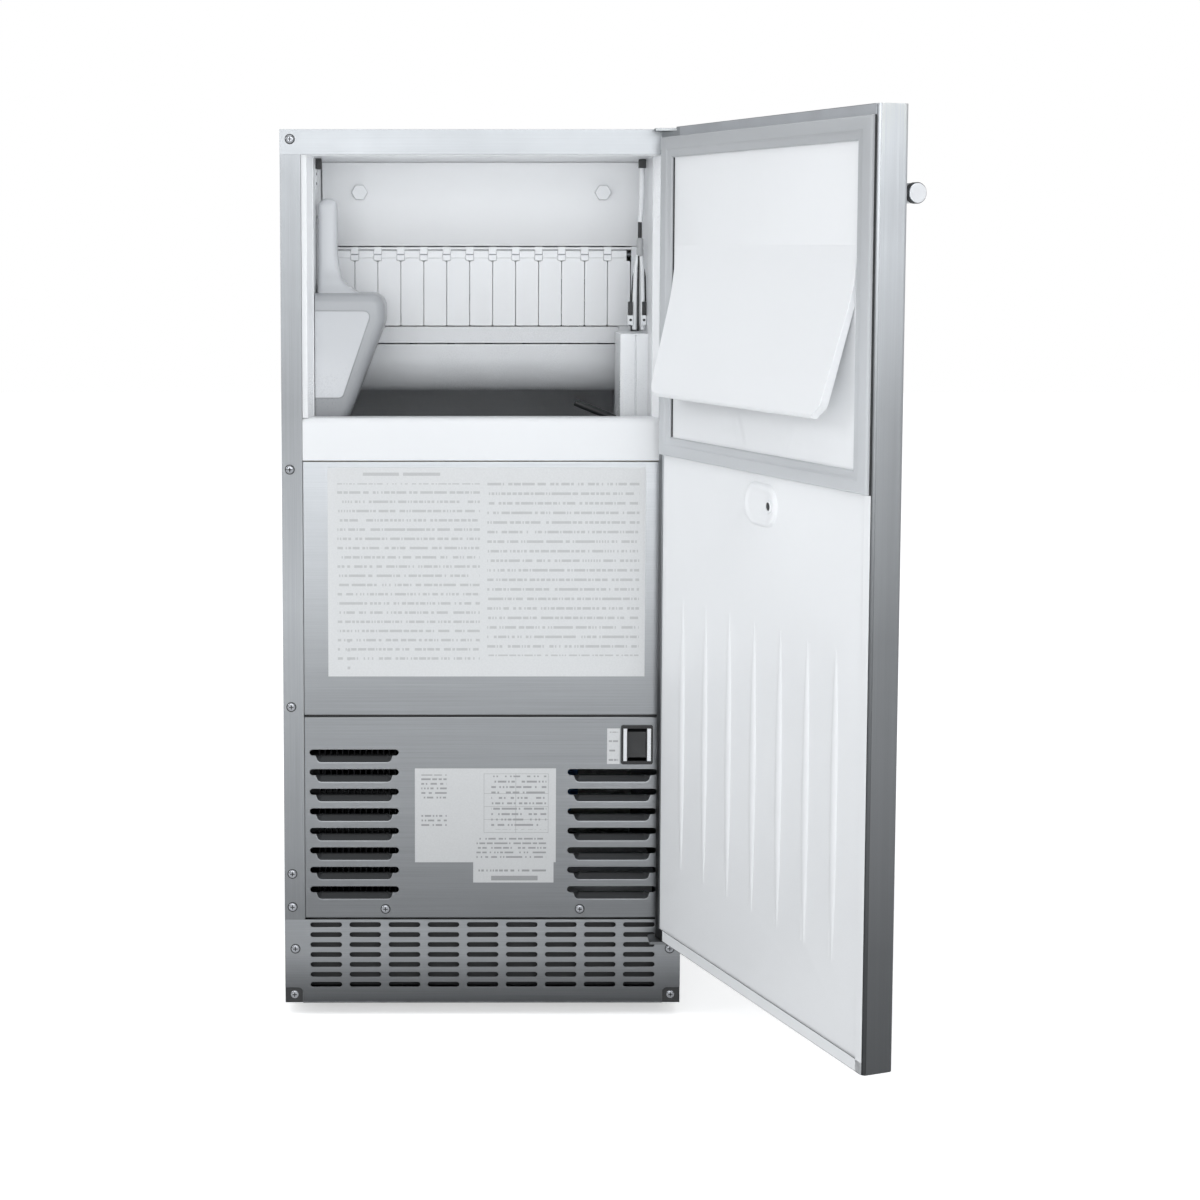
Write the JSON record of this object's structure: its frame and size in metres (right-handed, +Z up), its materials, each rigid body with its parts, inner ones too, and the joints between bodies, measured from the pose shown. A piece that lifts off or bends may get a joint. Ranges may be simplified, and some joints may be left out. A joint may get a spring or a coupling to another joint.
{
  "type": "ice maker",
  "caption": "Undercounter clear-ice maker: steel cabinet with insulated bin, slatted curtain, spray evaporator, scoop, vented base and hinged door with a bar handle.",
  "frame": {"origin": "middle of the bottom edge of the cabinet's front face", "axes": "+X to the right, +Y from the front to the back, +Z up"},
  "size_m": [0.5314, 0.9392, 0.836],
  "materials": {
    "stainless": "brushed stainless steel",
    "galvanised": "galvanised sheet, dull",
    "white_plastic": "white moulded plastic, glossy",
    "foam": "rigid insulating foam",
    "label": "satin printed label with plain lines",
    "bezel": "satin chrome bezel",
    "black_plastic": "black moulded plastic",
    "screw_steel": "polished steel",
    "copper": "tinned and bare copper",
    "black_paint": "black gloss paint",
    "fin_metal": "aluminium fins",
    "blue_plastic": "moulded valve body",
    "grey_plastic": "grey drain pipe",
    "zinc_box": "light grey painted box",
    "gasket_rubber": "grey soft seal",
    "handle_steel": "satin stainless bar"
  },
  "bodies": {
    "cabinet": {"base_pan": "galvanised", "side_panel_left": "stainless", "side_panel_right": "stainless", "rear_panel": "galvanised", "top_panel": "stainless", "divider_shelf": "galvanised", "bin_liner": "white_plastic", "insulation_foam": "foam", "mid_front_panel": "stainless", "service_panel": "stainless", "kick_plate": "stainless", "front_labels": "label", "switch_housing": "bezel", "front_screws": "screw_steel", "levelling_feet": "screw_steel", "evaporator_cover": "white_plastic", "cover_knobs": "white_plastic", "evaporator": "copper", "spray_manifold": "white_plastic", "ice_chute": "white_plastic", "sump_tray": "white_plastic", "circulation_pump": "black_plastic", "curtain_rod": "screw_steel", "curtain_brackets": "white_plastic", "probe_guard": "white_plastic", "bin_probe": "black_plastic", "scoop_peg": "white_plastic", "compressor": "black_paint", "condenser_coil": "fin_metal", "fan_shroud": "galvanised", "fan_motor": "black_plastic", "liquid_line": "copper", "water_valve": "blue_plastic", "drain_spigot": "grey_plastic", "control_box": "zinc_box", "power_inlet": "black_plastic", "door_hinges": "galvanised"},
    "door": {"door_skin": "stainless", "door_foam": "foam", "door_liner": "white_plastic", "door_gasket": "gasket_rubber", "ice_deflector": "white_plastic", "handle_posts": "handle_steel", "door_handle": "handle_steel"},
    "rocker": {"switch_rocker": "black_plastic"},
    "scoop": {"ice_scoop": "white_plastic"},
    "fan": {"fan_blade": "black_plastic"},
    "slat_01": {"slat_01": "white_plastic"},
    "slat_02": {"slat_02": "white_plastic"},
    "slat_03": {"slat_03": "white_plastic"},
    "slat_04": {"slat_04": "white_plastic"},
    "slat_05": {"slat_05": "white_plastic"},
    "slat_06": {"slat_06": "white_plastic"},
    "slat_07": {"slat_07": "white_plastic"},
    "slat_08": {"slat_08": "white_plastic"},
    "slat_09": {"slat_09": "white_plastic"},
    "slat_10": {"slat_10": "white_plastic"},
    "slat_11": {"slat_11": "white_plastic"},
    "slat_12": {"slat_12": "white_plastic"},
    "slat_13": {"slat_13": "white_plastic"}
  },
  "joints": [
    {"name": "door_hinge", "type": "hinge", "parent": "cabinet", "child": "door", "pos_m": [0.176, -0.0163, 0.4], "axis": [0, 0, 1], "range_deg": [-110.5, 0]},
    {"name": "rocker_tilt", "type": "hinge", "parent": "cabinet", "child": "rocker", "pos_m": [0.145, 0.006, 0.24975], "axis": [1, 0, 0], "range_deg": [-11, 11]},
    {"name": "scoop_lift", "type": "slide", "parent": "cabinet", "child": "scoop", "axis": [0.8192, 0, 0.5736], "range_m": [0, 0.06]},
    {"name": "fan_spin", "type": "hinge", "parent": "cabinet", "child": "fan", "pos_m": [-0.105, 0.1, 0.145], "axis": [0, 1, 0], "continuous": true},
    {"name": "slat_01_swing", "type": "hinge", "parent": "cabinet", "child": "slat_01", "pos_m": [0, 0.152, 0.709], "axis": [-1, 0, 0], "range_deg": [0, 30]},
    {"name": "slat_02_swing", "type": "hinge", "parent": "cabinet", "child": "slat_02", "pos_m": [0, 0.152, 0.709], "axis": [-1, 0, 0], "range_deg": [0, 30]},
    {"name": "slat_03_swing", "type": "hinge", "parent": "cabinet", "child": "slat_03", "pos_m": [0, 0.152, 0.709], "axis": [-1, 0, 0], "range_deg": [0, 30]},
    {"name": "slat_04_swing", "type": "hinge", "parent": "cabinet", "child": "slat_04", "pos_m": [0, 0.152, 0.709], "axis": [-1, 0, 0], "range_deg": [0, 30]},
    {"name": "slat_05_swing", "type": "hinge", "parent": "cabinet", "child": "slat_05", "pos_m": [0, 0.152, 0.709], "axis": [-1, 0, 0], "range_deg": [0, 30]},
    {"name": "slat_06_swing", "type": "hinge", "parent": "cabinet", "child": "slat_06", "pos_m": [0, 0.152, 0.709], "axis": [-1, 0, 0], "range_deg": [0, 30]},
    {"name": "slat_07_swing", "type": "hinge", "parent": "cabinet", "child": "slat_07", "pos_m": [0, 0.152, 0.709], "axis": [-1, 0, 0], "range_deg": [0, 30]},
    {"name": "slat_08_swing", "type": "hinge", "parent": "cabinet", "child": "slat_08", "pos_m": [0, 0.152, 0.709], "axis": [-1, 0, 0], "range_deg": [0, 30]},
    {"name": "slat_09_swing", "type": "hinge", "parent": "cabinet", "child": "slat_09", "pos_m": [0, 0.152, 0.709], "axis": [-1, 0, 0], "range_deg": [0, 30]},
    {"name": "slat_10_swing", "type": "hinge", "parent": "cabinet", "child": "slat_10", "pos_m": [0, 0.152, 0.709], "axis": [-1, 0, 0], "range_deg": [0, 30]},
    {"name": "slat_11_swing", "type": "hinge", "parent": "cabinet", "child": "slat_11", "pos_m": [0, 0.152, 0.709], "axis": [-1, 0, 0], "range_deg": [0, 30]},
    {"name": "slat_12_swing", "type": "hinge", "parent": "cabinet", "child": "slat_12", "pos_m": [0, 0.152, 0.709], "axis": [-1, 0, 0], "range_deg": [0, 30]},
    {"name": "slat_13_swing", "type": "hinge", "parent": "cabinet", "child": "slat_13", "pos_m": [0, 0.152, 0.709], "axis": [-1, 0, 0], "range_deg": [0, 30]}
  ]
}
